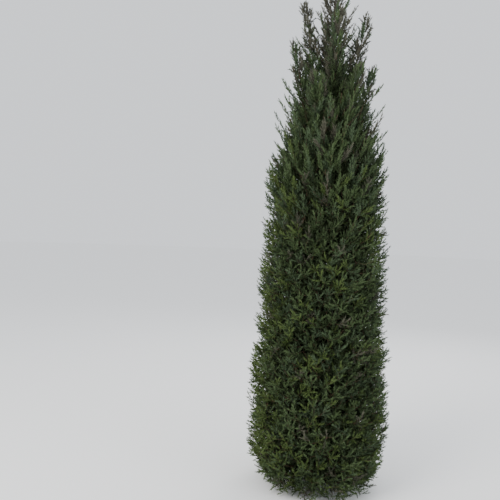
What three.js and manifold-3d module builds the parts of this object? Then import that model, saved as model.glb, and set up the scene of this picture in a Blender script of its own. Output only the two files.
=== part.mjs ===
// A columnar Chinese juniper, clothed in foliage from the ground to a feathery tip.
// Millimetres, +Z up. The origin is the centre of the trunk's flat cut at ground level.
import * as THREE from "three";
import { mergeVertices } from "three/addons/utils/BufferGeometryUtils.js";
import Module from "manifold-3d";

const wasm = await Module();
wasm.setup();

// Driving sizes of the whole tree.
const TREE_HEIGHT = 3200;
const TREE_TIP = { x: 8, y: 4 };
const GROUND_CLEARANCE = 6;
const JOINT_GAP = 0.3;
const TRUNK_GAP = 0.4; // between the trunk and what is cut to its slanting, many-sided surface
const SPACE_MARGIN = 0.7;
const GOLDEN_ANGLE = 2 * Math.PI * 0.6180339887;

// The crown's outline from the skirt to the tip: how far its furthest sprays reach from the axis.
const CROWN_OUTLINE = [
  { height: 0, radius: 300 },
  { height: 60, radius: 370 },
  { height: 150, radius: 408 },
  { height: 400, radius: 430 },
  { height: 700, radius: 422 },
  { height: 1050, radius: 393 },
  { height: 1750, radius: 368 },
  { height: 2150, radius: 325 },
  { height: 2450, radius: 290 },
  { height: 2880, radius: 215 },
  { height: 3060, radius: 110 },
  { height: TREE_HEIGHT, radius: 20 },
];

// The trunk tapers from its root flare to the point where the leader's shoots take over.
const TRUNK = {
  top: 2400,
  baseRadius: 37,
  topRadius: 7,
  taper: 0.85, // 1 tapers evenly, and less keeps the upper trunk thinner
  flare: 17,
  flareHeight: 75,
  buttresses: 5,
  buttressDepth: 0.22,
  wander: 9,
  twist: 4.5,
  sides: 12,
  rings: 12,
  ringCrowding: 1.7, // the rings crowd towards the flare
};

// Five tiers of dense masses clothe the tree. A mass's space has its centre at about the height
// `centre`, its bough leaves the trunk at `from`, each one `step` above the last, and `turn` is
// the bearing of the tier's first mass, in degrees from +X.
const TIERS = [
  { name: "skirt", count: 5, turn: 3, from: 85, step: 9, centre: 240 },
  { name: "lower", count: 5, turn: 38, from: 430, step: 18, centre: 680 },
  { name: "middle", count: 4, turn: 12, from: 850, step: 18, centre: 1130 },
  { name: "upper", count: 4, turn: 52, from: 1300, step: 18, centre: 1575 },
  { name: "shoulder", count: 4, turn: 5, from: 1720, step: 18, centre: 2000 },
];

// Two rings of upright plumes crown the tree. Their stems leave the trunk from `from` upwards and
// are drawn `reach` away from the axis at the height `foot`. The tallest ends at `tip`, the
// shortest `drop` below it, `tipReach` of the crown's radius away from the axis.
const PLUME_RINGS = [
  {
    name: "side_plume",
    count: 6,
    turn: 194,
    from: 1950,
    step: 18,
    foot: 2120,
    reach: 132,
    tip: 2700,
    drop: 230,
    tipReach: 0.93,
  },
  {
    name: "high_plume",
    count: 4,
    turn: 188,
    from: 2190,
    step: 18,
    foot: 2350,
    reach: 88,
    tip: 2940,
    drop: 100,
    tipReach: 0.95,
  },
];

// How far a mass strays from its even place: in height, and in bearing in radians.
const SCATTER = { height: 42, bearing: 0.11 };

const BOUGH = {
  radius: 13,
  trunkShare: 0.5, // but no more than this share of the trunk's own radius
  tipShare: 0.62,
  rise: 0.62, // it ends this far up from its start to the height of its mass's centre
  sag: 0.15,
  sides: 5,
  steps: 2,
};
const DENSE = {
  reach: 0.66, // the centre of a mass's space, as a share of the crown's radius there
  hollow: 0.32, // the bare space round the trunk, as a share of the crown's radius
  footDepth: 5, // how far inside its space a mass's stem starts
  overlap: 0.8, // how far a mass climbs past the foot of the one above it, per unit outwards
  top: 2330, // dense foliage ends at about this height
  sprays: 262, // on the whole dense crown
  sprayLength: 270,
  sprayWidth: 156,
  rootDepth: 8, // a spray's root is sunk at least this deep in the core
  stemRadius: 7,
  twigRadius: 3,
};
const CORE = {
  bottom: 32,
  height: 330, // half the height that it is built over before its space trims it
  spread: 0.98, // half the bearing that it is built over, in radians
  depth: 92, // its skin lies this far inside the crown's outline
  pillow: 34, // and this much further in at the edges of its space
  edge: 110, // how far in from those edges the pillow swells
  wall: 26, // its flat inner wall stands this far outside the bare space
  roughness: 30,
  topInset: 8, // its top and sides stand this far inside its space
  sideInset: 1,
};
const OPEN = {
  sprays: 12,
  sprayLength: 255,
  sprayWidth: 92,
  sunk: 3, // a spray's root starts this far behind the stem's axis
  splay: 0.52,
  firstShare: 0.22, // the bare share of a stem that has to come out of the dense crown
  stemRadius: 6,
  hollow: 0.3, // its space starts at this share of its foot's reach
};
// The close foliage round a plume's stem swells and thins as a stretch of half a sine wave does.
const HEART = { radius: 50, firstPhase: 0.1, lastPhase: 0.97, sides: 5, steps: 3, inset: 1 };

// The ways a spray of a dense mass is tried in turn: its lean outwards per unit of rise, and its
// length and width as shares of their own sizes.
const WAYS_TO_GROW = [0.42, 0.62, 0.9, 1.4, 2.4, 5].flatMap((lean) => [
  { lean, length: 1, width: 1 },
  { lean, length: 0.84, width: 0.92 },
  { lean, length: 0.84, width: 0.55 },
  { lean, length: 0.68, width: 0.58 },
]);

// A spray's outline from its root up one side, as shares of half its width and of its length.
// A ridge rises over it at RIDGE.along of its length.
const SPRAY_SIDE = [
  [1, 0.74],
  [0.3, 0.62],
];
const RIDGE = { along: 0.42, height: 0.07 };

const UP = new THREE.Vector3(0, 0, 1);

// A seeded sequence of numbers from 0 to 1, the same on every run.
function seeded(seed) {
  let state = (seed * 7919 + 12345) >>> 0;
  return () => {
    state = (Math.imul(state, 1664525) + 1013904223) >>> 0;
    return state / 4294967296;
  };
}

function crownRadius(height) {
  const above = CROWN_OUTLINE.findIndex((station) => station.height > height);
  if (above < 0) return CROWN_OUTLINE.at(-1).radius;
  if (above === 0) return CROWN_OUTLINE[0].radius;
  const low = CROWN_OUTLINE[above - 1];
  const high = CROWN_OUTLINE[above];
  const share = (height - low.height) / (high.height - low.height);
  return low.radius + (high.radius - low.radius) * share;
}

function outwards(bearing) {
  return new THREE.Vector3(Math.cos(bearing), Math.sin(bearing), 0);
}

// A point given by its bearing, its distance from the axis and its height.
function around(bearing, distance, height) {
  return outwards(bearing).multiplyScalar(distance).setZ(height);
}

function trunkCentre(height) {
  const share = height / TRUNK.top;
  return around(TRUNK.twist * share, TRUNK.wander * Math.sin(Math.PI * share), height);
}

function trunkRadius(height, bearing) {
  const share = Math.pow(height / TRUNK.top, TRUNK.taper);
  const taper = TRUNK.baseRadius + (TRUNK.topRadius - TRUNK.baseRadius) * share;
  const foot = Math.exp(-height / TRUNK.flareHeight);
  const lobes = 1 + TRUNK.buttressDepth * foot * Math.cos(TRUNK.buttresses * bearing);
  return (taper + TRUNK.flare * foot) * lobes;
}

// A closed geometry as a solid that can be joined and cut.
function solidOf(geometry) {
  const bare = geometry.clone();
  bare.deleteAttribute("normal");
  bare.deleteAttribute("uv");
  const merged = mergeVertices(bare, 1e-3);
  return new wasm.Manifold(
    new wasm.Mesh({
      numProp: 3,
      vertProperties: merged.attributes.position.array,
      triVerts: new Uint32Array(merged.index.array),
    }),
  );
}

function geometryOf(solid) {
  const { vertProperties, triVerts } = solid.getMesh();
  const geometry = new THREE.BufferGeometry();
  geometry.setAttribute("position", new THREE.BufferAttribute(vertProperties, 3));
  geometry.setIndex(new THREE.BufferAttribute(triVerts, 1));
  geometry.computeVertexNormals();
  return geometry;
}

// Joins pieces into one body. Loose scraps are dropped, and faces that lie in one plane merge.
function fused(pieces) {
  const bodies = wasm.Manifold.union(pieces).decompose();
  bodies.sort((a, b) => b.volume() - a.volume());
  return bodies[0].simplify(0.02);
}

// A cylinder bent along a stretch of a curve, with its radius given for each share of the curve.
// Its ends are flat.
function bentCylinder(curve, [start, end], radiusAt, sides, steps) {
  const tube = new THREE.CylinderGeometry(1, 1, 1, sides, steps);
  const place = tube.attributes.position;
  for (let i = 0; i < place.count; i++) {
    const share = start + (end - start) * (place.getY(i) + 0.5);
    const turn = new THREE.Quaternion().setFromUnitVectors(
      new THREE.Vector3(0, 1, 0),
      curve.getTangent(share),
    );
    const point = new THREE.Vector3(place.getX(i), 0, place.getZ(i))
      .multiplyScalar(radiusAt(share))
      .applyQuaternion(turn)
      .add(curve.getPoint(share));
    place.setXYZ(i, point.x, point.y, point.z);
  }
  return solidOf(tube);
}

function taperedTube(curve, startRadius, endRadius, sides, steps) {
  const radiusAt = (share) => startRadius + (endRadius - startRadius) * share;
  return bentCylinder(curve, [0, 1], radiusAt, sides, steps);
}

// The trunk, or with `extra` a thicker one that cuts room for it.
function trunkSolid(extra = 0) {
  const tube = new THREE.CylinderGeometry(1, 1, 1, TRUNK.sides, TRUNK.rings);
  const place = tube.attributes.position;
  for (let i = 0; i < place.count; i++) {
    const height = TRUNK.top * Math.pow(place.getY(i) + 0.5, TRUNK.ringCrowding);
    const bearing = Math.atan2(-place.getZ(i), place.getX(i));
    const share = Math.hypot(place.getX(i), place.getZ(i));
    const radius = (trunkRadius(height, bearing) + extra) * share;
    const point = around(bearing, radius, 0).add(trunkCentre(height));
    place.setXYZ(i, point.x, point.y, point.z);
  }
  return solidOf(tube);
}

// The dense masses of one tier: where each has its centre, its bough's start and its stem's foot.
function tierMasses(tier, stray) {
  return Array.from({ length: tier.count }, (_, i) => {
    const even = THREE.MathUtils.degToRad(tier.turn + (360 * i) / tier.count);
    const bearing = even + SCATTER.bearing * stray();
    const height = tier.centre + SCATTER.height * stray();
    const radius = crownRadius(height);
    const hollow = DENSE.hollow * radius;
    const from = tier.from + tier.step * i;
    return {
      name: `${tier.name}_mass_${i + 1}`,
      boughName: `${tier.name}_bough_${i + 1}`,
      dense: true,
      bearing,
      hollow,
      from,
      centre: around(bearing, DENSE.reach * radius, height),
      foot: around(bearing, hollow + DENSE.footDepth, from + BOUGH.rise * (height - from)),
    };
  });
}

// The open plumes of one ring: where each leaves the trunk, bends, and has its tip.
function ringPlumes(ring, stray) {
  return Array.from({ length: ring.count }, (_, i) => {
    const even = THREE.MathUtils.degToRad(ring.turn + (360 * i) / ring.count);
    const bearing = even + SCATTER.bearing * stray();
    const shortening = (((ring.count - 1) * i) % ring.count) / (ring.count - 1);
    const height = ring.tip - ring.drop * shortening;
    const foot = around(bearing, ring.reach, ring.foot + SCATTER.height * stray());
    const tip = around(bearing, ring.tipReach * crownRadius(height), height);
    return {
      name: `${ring.name}_${i + 1}`,
      dense: false,
      bearing,
      hollow: OPEN.hollow * ring.reach,
      from: ring.from + ring.step * i,
      centre: foot.clone().lerp(tip, 0.5),
      foot,
      tip,
      firstShare: OPEN.firstShare,
      heart: { start: 0.16, end: 0.72 },
    };
  });
}

function leaderPlume() {
  const top = trunkCentre(TRUNK.top);
  const tip = new THREE.Vector3(TREE_TIP.x, TREE_TIP.y, TREE_HEIGHT);
  return {
    name: "leader_plume",
    dense: false,
    bearing: 0,
    hollow: -Infinity,
    from: TRUNK.top + TRUNK_GAP,
    centre: top.clone().lerp(tip, 0.5),
    foot: top.clone().lerp(tip, 0.2),
    tip,
    firstShare: 0.04,
    heart: { start: 0.01, end: 0.48 },
  };
}

// Every mass of the crown, from the skirt to the leader, each with the planes that shut it in.
function masses() {
  const random = seeded(7);
  const stray = () => 2 * random() - 1;
  const all = [
    ...TIERS.flatMap((tier) => tierMasses(tier, stray)),
    ...PLUME_RINGS.flatMap((ring) => ringPlumes(ring, stray)),
    leaderPlume(),
  ];
  for (const mass of all) {
    mass.rise = (mass.tip ?? mass.centre).clone().sub(mass.foot).normalize();
    mass.sprays = [];
  }
  for (const mass of all) mass.planes = spaceOf(mass, all);
  return all;
}

// The planes that shut a mass into its own space, one against each other mass. Between two plumes
// the plane runs along them. Between two heights of dense foliage it leans inwards, so that the
// lower mass climbs outside the upper one's foot.
function spaceOf(mass, all) {
  const planes = [];
  for (const other of all) {
    if (other === mass) continue;
    const middle = mass.centre.clone().lerp(other.centre, 0.5);
    const normal = other.centre.clone().sub(mass.centre);
    if (mass.dense || other.dense) {
      const inward = new THREE.Vector3(-middle.x, -middle.y, 0).normalize();
      normal.addScaledVector(inward, DENSE.overlap * normal.z);
    } else {
      normal.projectOnPlane(mass.rise.clone().add(other.rise).normalize());
    }
    normal.normalize();
    planes.push({ normal, limit: normal.dot(middle) - SPACE_MARGIN });
  }
  if (Number.isFinite(mass.hollow)) {
    planes.push({ normal: outwards(mass.bearing).negate(), limit: -mass.hollow });
  }
  planes.push({ normal: UP.clone().negate(), limit: -GROUND_CLEARANCE });
  return planes;
}

// How deep a point lies inside a space: its distance from the nearest of the planes.
function roomAt(point, planes) {
  return Math.min(...planes.map((plane) => plane.limit - plane.normal.dot(point)));
}

// Whether all of a piece lies in a space and within the crown's outline, give or take a little.
function staysIn(geometry, planes) {
  const place = geometry.attributes.position;
  const point = new THREE.Vector3();
  for (let i = 0; i < place.count; i++) {
    point.fromBufferAttribute(place, i);
    if (point.z > TREE_HEIGHT) return false;
    if (Math.hypot(point.x, point.y) > 1.05 * crownRadius(point.z)) return false;
    if (roomAt(point, planes) < 0) return false;
  }
  return true;
}

// How far the core's skin lies from the axis: under the crown's outline, and deeper near the
// edges of its space, so that each mass swells like a pillow.
function skinRadius(bearing, height, planes) {
  const outline = crownRadius(height) - CORE.depth;
  const room = roomAt(around(bearing, outline, height), planes);
  const edge = THREE.MathUtils.clamp(1 - room / CORE.edge, 0, 1.2);
  return outline - CORE.pillow * edge * edge;
}

// A lumpy body that fills the inside of a dense mass, trimmed to its space.
function coreSolid(mass, random) {
  const core = new THREE.BoxGeometry(2, 2, 2, 4, 1, 4);
  core.deleteAttribute("normal");
  core.deleteAttribute("uv");
  const block = mergeVertices(core, 1e-3);
  const place = block.attributes.position;
  for (let i = 0; i < place.count; i++) {
    const aside = CORE.spread * place.getX(i);
    const bearing = mass.bearing + aside;
    const height = Math.max(CORE.bottom, mass.centre.z + CORE.height * place.getZ(i));
    const lump = CORE.roughness * (random() - 0.5);
    const wall = (mass.hollow + CORE.wall) / Math.cos(aside);
    const skin = Math.max(skinRadius(bearing, height, mass.planes) + lump, wall + 5);
    const point = around(bearing, place.getY(i) > 0 ? wall : skin, height);
    place.setXYZ(i, point.x, point.y, point.z);
  }
  let solid = solidOf(block);
  for (const { normal, limit } of mass.planes) {
    const inset = normal.z > 0.3 ? CORE.topInset : CORE.sideInset;
    solid = solid.trimByPlane([-normal.x, -normal.y, -normal.z], inset - limit);
  }
  return solid;
}

// A flat-backed toothed blade with a ridge down its face, rooted at the origin and pointing along
// +Y. It starts as a cone whose base ring becomes the outline and whose apex becomes the ridge.
function sprayBlade(length, width, skew) {
  const points = 2 * SPRAY_SIDE.length + 2;
  const blade = new THREE.ConeGeometry(1, 1, points, 1);
  const place = blade.attributes.position;
  for (let i = 0; i < place.count; i++) {
    const [x, y, z] = [place.getX(i), place.getY(i), place.getZ(i)];
    if (Math.hypot(x, z) < 0.5) {
      place.setXYZ(i, 0, RIDGE.along * length, y > 0 ? RIDGE.height * length : 0);
      continue;
    }
    const turn = Math.round((Math.atan2(x, z) / (2 * Math.PI)) * points + points) % points;
    const right = turn <= points / 2;
    const step = right ? turn : points - turn;
    let [across, along] = [0, step === 0 ? 0 : 1];
    if (step > 0 && step < points / 2) [across, along] = SPRAY_SIDE[step - 1];
    const lean = along > 0 && along < 1 ? (right ? skew : -skew) : 0;
    place.setXYZ(i, (right ? across : -across) * width * 0.5, (along + lean) * length, 0);
  }
  return blade;
}

// Turns a blade so that it grows from `root` along `direction`, its face towards `facing`.
function placement(root, direction, facing) {
  const along = direction.clone().normalize();
  const across = along.clone().cross(facing).normalize();
  const face = across.clone().cross(along);
  return new THREE.Matrix4().makeBasis(across, along, face).setPosition(root);
}

// One spray as a solid, or nothing if it leaves its space.
function spraySolid({ root, direction, facing, length, width, skew }, planes) {
  const blade = sprayBlade(length, width, skew);
  blade.applyMatrix4(placement(root, direction, facing));
  return staysIn(blade, planes) ? solidOf(blade) : null;
}

// The stem of a dense mass starts just clear of its bough's end and goes on the same way.
function stemCurve(mass, heading) {
  const start = mass.foot.clone().addScaledVector(heading, JOINT_GAP);
  const bend = start.clone().addScaledVector(heading, 0.4 * start.distanceTo(mass.centre));
  return new THREE.QuadraticBezierCurve3(start, bend, mass.centre);
}

// Deals the dense crown's sprays out to the masses. Their tips climb the crown's outline on one
// golden-angle spiral, an even area apart, and each belongs to the mass whose space it lies in.
function dealSprays(all) {
  const random = seeded(101);
  const meanRadius = 365;
  const area = (2 * Math.PI * meanRadius * DENSE.top) / DENSE.sprays;
  const lowest = 36;
  let height = lowest;
  for (let i = 0; height < DENSE.top; i++) {
    const radius = crownRadius(height);
    const bearing = i * GOLDEN_ANGLE + (30 * (random() - 0.5)) / radius;
    const reach = (0.92 + 0.08 * random()) * radius;
    const tip = around(bearing, reach, Math.max(lowest, height + 50 * (random() - 0.5)));
    const jitter = [random(), random(), random(), random()];
    const owner = all.find((mass) => mass.dense && roomAt(tip, mass.planes) > 1);
    if (owner) owner.sprays.push({ bearing, tip, jitter });
    height += area / (2 * Math.PI * radius);
  }
}

// A spray of a dense mass ends at its place on the crown's outline. It leans out as little as its
// space lets it, fans out from the middle of the mass, and has its root sunk in the core.
function denseSpray(mass, { bearing, tip, jitter }) {
  const fullLength = DENSE.sprayLength * (0.9 + 0.25 * jitter[2]);
  const aside = bearing - mass.bearing;
  const fan = 0.3 * Math.atan2(Math.sin(aside), Math.cos(aside)) + 0.2 * (jitter[3] - 0.5);
  for (const way of WAYS_TO_GROW) {
    const length = way.length * fullLength;
    const out = outwards(bearing).multiplyScalar(way.lean + 0.12 * jitter[0]);
    const direction = out.addScaledVector(outwards(bearing + Math.PI / 2), fan).setZ(1).normalize();
    const root = tip.clone().addScaledVector(direction, -length);
    const depth = skinRadius(bearing, root.z, mass.planes) - Math.hypot(root.x, root.y);
    const grounded = root.z < CORE.bottom + 2;
    if (depth < DENSE.rootDepth || grounded || roomAt(root, mass.planes) < 6) continue;
    const roll = (way.width < 0.6 ? 2.4 : 1.3) * (jitter[1] - 0.5);
    const facing = outwards(bearing + roll);
    const width = way.width * DENSE.sprayWidth;
    const skew = 0.12 * (jitter[0] - 0.5);
    const solid = spraySolid({ root, direction, facing, length, width, skew }, mass.planes);
    if (solid) return { root, solid };
  }
  return null;
}

// A dense mass: a stem, twigs to its sprays, and the core that the sprays stand out of.
function denseMass(mass, heading, random) {
  const curve = stemCurve(mass, heading);
  const stem = taperedTube(curve, DENSE.stemRadius, 0.6 * DENSE.stemRadius, 4, 2);
  const pieces = [coreSolid(mass, random), stem];
  for (const place of mass.sprays) {
    const spray = denseSpray(mass, place);
    if (!spray) continue;
    const branching = curve.getPoint(0.6 + 0.4 * place.jitter[0]);
    const line = new THREE.LineCurve3(branching, spray.root);
    pieces.push(spray.solid, taperedTube(line, DENSE.twigRadius, DENSE.twigRadius, 3, 1));
  }
  return fused(pieces);
}

// The stem of an open plume leaves the trunk towards its foot, bends upwards and runs to its tip.
function plumeCurve(mass) {
  const end = mass.tip.clone().addScaledVector(UP, -0.3 * OPEN.sprayLength);
  return new THREE.CubicBezierCurve3(trunkCentre(mass.from), mass.foot, mass.centre, end);
}

// One spray of an open plume, at a share of the way up its stem, shortened until it fits.
function plumeSpray(mass, curve, share, turn, random) {
  const along = curve.getTangent(share);
  const sideways = outwards(turn + 0.5 * random());
  const splay = OPEN.splay * (1.25 - 0.6 * share);
  const direction = along.clone().addScaledVector(sideways, splay).normalize();
  const root = curve.getPoint(share).addScaledVector(direction, -OPEN.sunk);
  const facing = sideways.clone().applyAxisAngle(along, 1.4 * (random() - 0.5));
  const fullLength = OPEN.sprayLength * (1.15 - 0.5 * share) * (0.9 + 0.2 * random());
  const skew = 0.1 * (random() - 0.5);
  for (const shrink of [1, 0.82, 0.66, 0.5, 0.38]) {
    const length = shrink * fullLength;
    const width = Math.sqrt(shrink) * OPEN.sprayWidth;
    const solid = spraySolid({ root, direction, facing, length, width, skew }, mass.planes);
    if (solid) return solid;
  }
  return null;
}

// The close foliage round a plume's stem: a spindle that fills its space where the plumes crowd
// together, and thins out upwards.
function plumeHeart(mass, curve) {
  const { start, end } = mass.heart;
  const swell = (share) => {
    const along = (share - start) / (end - start);
    const phase = HEART.firstPhase + (HEART.lastPhase - HEART.firstPhase) * along;
    return HEART.radius * Math.sin(Math.PI * phase);
  };
  let heart = bentCylinder(curve, [start, end], swell, HEART.sides, HEART.steps);
  for (const { normal, limit } of mass.planes) {
    heart = heart.trimByPlane([-normal.x, -normal.y, -normal.z], HEART.inset - limit);
  }
  return heart;
}

// An open plume: a stem with slim sprays all the way up it, one at its tip.
function openPlume(mass, clearTrunk, random) {
  const curve = plumeCurve(mass);
  const stem = taperedTube(curve, OPEN.stemRadius, 0.38 * OPEN.stemRadius, 3, 5);
  const pieces = [stem, plumeHeart(mass, curve)];
  for (let i = 0; i < OPEN.sprays; i++) {
    const share = mass.firstShare + ((0.96 - mass.firstShare) * i) / (OPEN.sprays - 1);
    const spray = plumeSpray(mass, curve, share, i * GOLDEN_ANGLE, random);
    if (spray) pieces.push(spray);
  }
  const tipLength = 0.6 * OPEN.sprayLength;
  const tip = sprayBlade(tipLength, 0.6 * OPEN.sprayWidth, 0.03);
  const root = mass.tip.clone().addScaledVector(UP, -tipLength);
  tip.applyMatrix4(placement(root, UP, outwards(mass.bearing)));
  pieces.push(solidOf(tip));
  return fused([wasm.Manifold.union(pieces).subtract(clearTrunk)]);
}

// A bough leaves the trunk, sags a little and bends upwards to the foot of its mass's stem.
function boughCurve(mass) {
  const start = trunkCentre(mass.from);
  const bend = start.clone().lerp(mass.foot, 0.6);
  bend.z -= BOUGH.sag * start.distanceTo(mass.foot);
  return new THREE.QuadraticBezierCurve3(start, bend, mass.foot);
}

function boughSolid(mass, curve, clearTrunk) {
  const radius = Math.min(BOUGH.radius, BOUGH.trunkShare * trunkRadius(mass.from, 0));
  const tube = taperedTube(curve, radius, BOUGH.tipShare * radius, BOUGH.sides, BOUGH.steps);
  return fused([tube.subtract(clearTrunk)]);
}

const bark = new THREE.MeshStandardMaterial({ color: 0x6b4f3a, roughness: 0.92, metalness: 0 });
const needles = new THREE.MeshStandardMaterial({ color: 0x3d4b22, roughness: 0.7, metalness: 0 });
const bronzed = new THREE.MeshStandardMaterial({ color: 0x4c4a30, roughness: 0.75, metalness: 0 });

function named(name, solid, material) {
  const mesh = new THREE.Mesh(geometryOf(solid), material);
  mesh.name = name;
  return mesh;
}

function buildTree() {
  const tree = new THREE.Group();
  const boughs = new THREE.Group();
  const foliage = new THREE.Group();
  tree.add(named("trunk", trunkSolid(), bark), boughs, foliage);
  const clearTrunk = trunkSolid(TRUNK_GAP);
  const all = masses();
  dealSprays(all);
  all.forEach((mass, index) => {
    const random = seeded(index + 1);
    if (mass.dense) {
      const curve = boughCurve(mass);
      const heading = curve.getTangent(1);
      boughs.add(named(mass.boughName, boughSolid(mass, curve, clearTrunk), bark));
      foliage.add(named(mass.name, denseMass(mass, heading, random), needles));
    } else {
      foliage.add(named(mass.name, openPlume(mass, clearTrunk, random), bronzed));
    }
  });
  return tree;
}

export default buildTree();
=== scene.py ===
import math

import bmesh
import bpy
import numpy as np
from mathutils import Matrix, Vector, noise


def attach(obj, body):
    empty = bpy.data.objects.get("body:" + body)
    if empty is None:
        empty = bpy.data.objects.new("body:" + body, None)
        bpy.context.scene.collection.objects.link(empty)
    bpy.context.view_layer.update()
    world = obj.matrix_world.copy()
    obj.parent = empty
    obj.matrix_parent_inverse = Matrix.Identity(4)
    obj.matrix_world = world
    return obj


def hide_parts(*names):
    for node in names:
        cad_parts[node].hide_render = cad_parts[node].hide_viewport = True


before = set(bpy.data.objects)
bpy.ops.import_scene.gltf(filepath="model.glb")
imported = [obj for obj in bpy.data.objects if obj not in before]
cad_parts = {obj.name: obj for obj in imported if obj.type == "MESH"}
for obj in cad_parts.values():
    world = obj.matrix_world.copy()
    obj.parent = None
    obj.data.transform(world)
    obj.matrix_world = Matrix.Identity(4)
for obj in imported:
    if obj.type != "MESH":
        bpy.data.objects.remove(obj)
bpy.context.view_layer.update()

# Driving sizes of the whole tree, the same as the solids'.
TREE_HEIGHT = 3.2
TREE_TIP = (0.008, 0.004)
JOINT_GAP = 0.0003
TRUNK_GAP = 0.0004
GOLDEN_ANGLE = 2 * math.pi * 0.6180339887
SOLIDS_SEED = 7
GROWTH_SEED = 2024

# The crown's outline from the skirt to the tip: how far its furthest sprays reach from the axis.
OUTLINE_HEIGHTS = [0, 0.06, 0.15, 0.4, 0.7, 1.05, 1.75, 2.15, 2.45, 2.88, 3.06, TREE_HEIGHT]
OUTLINE_RADII = [0.3, 0.37, 0.408, 0.43, 0.422, 0.393, 0.368, 0.325, 0.29, 0.215, 0.11, 0.02]

TRUNK = dict(top=2.4, base=0.037, tip=0.007, taper=0.85, flare=0.017, flare_height=0.075,
             buttresses=5, buttress_depth=0.22, wander=0.009, twist=4.5, crowding=1.7)
TIERS = [
    dict(name="skirt", count=5, turn=3, start=0.085, step=0.009, centre=0.24),
    dict(name="lower", count=5, turn=38, start=0.43, step=0.018, centre=0.68),
    dict(name="middle", count=4, turn=12, start=0.85, step=0.018, centre=1.13),
    dict(name="upper", count=4, turn=52, start=1.3, step=0.018, centre=1.575),
    dict(name="shoulder", count=4, turn=5, start=1.72, step=0.018, centre=2.0),
]
PLUME_RINGS = [
    dict(name="side_plume", count=6, turn=194, start=1.95, step=0.018, foot=2.12, reach=0.132,
         tip=2.7, drop=0.23, tip_reach=0.93),
    dict(name="high_plume", count=4, turn=188, start=2.19, step=0.018, foot=2.35, reach=0.088,
         tip=2.94, drop=0.1, tip_reach=0.95),
]
SCATTER = dict(height=0.042, bearing=0.11)
LENGTH_RANGE = 0.3
SIZE_RANGE = 0.4
NOISE_GAIN = 1.6
BOUGH = dict(radius=0.013, trunk_share=0.5, tip_share=0.62, rise=0.62, bend=0.6, sag=0.15)
DENSE = dict(reach=0.66, hollow=0.32, foot_depth=0.005, overlap=0.8, top=2.36)
STEM = dict(elbow=0.4, radius=0.007, tip_share=0.6)
PLUME_STEM = dict(leader_start=0.2, tip_drop=0.05, radii=(0.006, 0.0014))

# The dense crown's growth. Branches end an even distance apart below the outline, and sprays fork
# from them and end on it. With height the sprays turn from short tufts to long upright feathers.
BRANCH = dict(spacing=0.085, lowest=0.06, depth=0.075, stray=0.02, length=0.17, drop=0.02,
              lowest_turn=0.03, fork_drop=0.05, bulge=0.01, radii=(0.0034, 0.0012))
BRANCH_STOPS = np.array([0.45, 0.58, 0.7, 0.8, 0.9, 1.0])
FORKS = dict(lowest=0.08, step=0.05, on_bough=(0.4, 0.6, 0.8, 1), on_stem=np.linspace(0.1, 1, 8))
SPRAY = dict(spacing=0.048, widening=0.25, lowest=0.02, wobble=0.024, length=0.075, reach=0.025,
             stray=0.022, bend=0.55, sprig_share=0.85, clothed=(0.08, 0.7), radii=(0.0014, 0.0008))
TUFT = dict(sprigs=6, tilts=(60, 26), stretch=0.75)
FEATHER = dict(sprigs=10, tilts=(26, 13), stretch=1.5, start=1.45, rise=0.6, longer_sprigs=0.1)
FEATHER_RELIEF = 0.4
HEADING = dict(foot=0.32, lean=0.55, lean_range=1.6, foot_lean=2.2, foot_turn=1.5, sway=2.4,
               feather_lean=0.45, feather_sway=0.55)
NOTCH = dict(depth=0.06, start=2.0)
CLUMPS = dict(sizes=(0.13, 0.065), weights=(0.7, 0.8), level=0.4, stretch=1.6, depth=0.055)
# The share of each tuft's sprigs that take the older, darker shade, made larger in sunken tufts as
# painted shade in the crown's recesses, and varied at random and in patches.
OLDER_AND_SHADED = dict(start=-0.4, sunken=1.15, stray=0.9, patch=0.4, patch_size=0.2)

# Longer feathers that lean out of the upper crown, and those that crowd the foot of the plumes.
# The last number of each is the share of a feather's lower sprigs that take the older, darker shade:
# older growth and painted shade at once.
PLUMELETS = dict(count=52, bottom=1.8, rise=0.66, turn=0.5, reach=0.034, lean=0.6, lean_range=0.3,
                 length=0.19, sprigs=13, tilts=(28, 14), older_and_shaded=0.3)
CROWDED = dict(count=140, bottom=2.32, rise=0.3, thinning=1.2, inner=0.15, width=0.5, packing=0.8,
               lean=0.25, lean_range=0.5, length=0.1, sprigs=8, tilts=(27, 13), older_and_shaded=0.4)
CROWDED_FORKS = np.linspace(0.3, 0.9, 13)

# The plumes' growth: the stretches of a stem that its sprays and the old sprigs of its heart stand
# on, how many sprays it has and how many sprigs each, how the sprays crowd and how full they are.
SIDE_PLUME = dict(clothed=(0.2, 0.97), heart=(0.16, 0.8), sprays=34, sprigs=7, crowding=1.0,
                  fullness=1.0)
LEADER_PLUME = dict(clothed=(0.02, 0.92), heart=(0.01, 0.55), sprays=64, sprigs=10, crowding=0.85,
                    fullness=1.8)
# Its last number is the share of a spray's lower sprigs that take the older, darker shade: older growth
# and painted shade at once.
PLUME_SPRAY = dict(length=0.15, longest=1.15, shortening=0.5, splay=0.72, closing=0.2,
                   tip_closing=0.45, thinning=2.5, turn=0.5, bend=0.5, bulge=0.012, least=0.02,
                   headroom=0.8, lookahead=0.03, radii=(0.0016, 0.0009), clothed=0.12,
                   sprig=0.056, sprig_share=0.8, tilts=(25, 10), taper=0.3, older_and_shaded=0.45)
PLUME_TIP_SPRIG = 0.06
PLUME_HEART = dict(sprigs=34, splay=0.4, splay_range=0.9, length=0.105)

# The sprigs' own shapes: their pointed shoots, and the variants of each kind.
SHOOTS = dict(lowest=0.08, stretch=0.74, young_from=0.2, length=0.38, shortening=0.14, tilt=38,
              rising=20, tilt_range=8, flattening=(1.2, 0.85, 1), turn=0.4, axis=0.8, bend=0.2)
YOUNG_SPRIGS = dict(seeds=(11, 12, 13, 14), shoots=9, thickness=0.046, spread=1.0)
OLD_SPRIGS = dict(seeds=(21, 22, 23), shoots=8, thickness=0.044, spread=1.3)
DEEP_SPRIGS = dict(seeds=(31, 32), shoots=8, thickness=0.08, spread=1.6)

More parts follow.
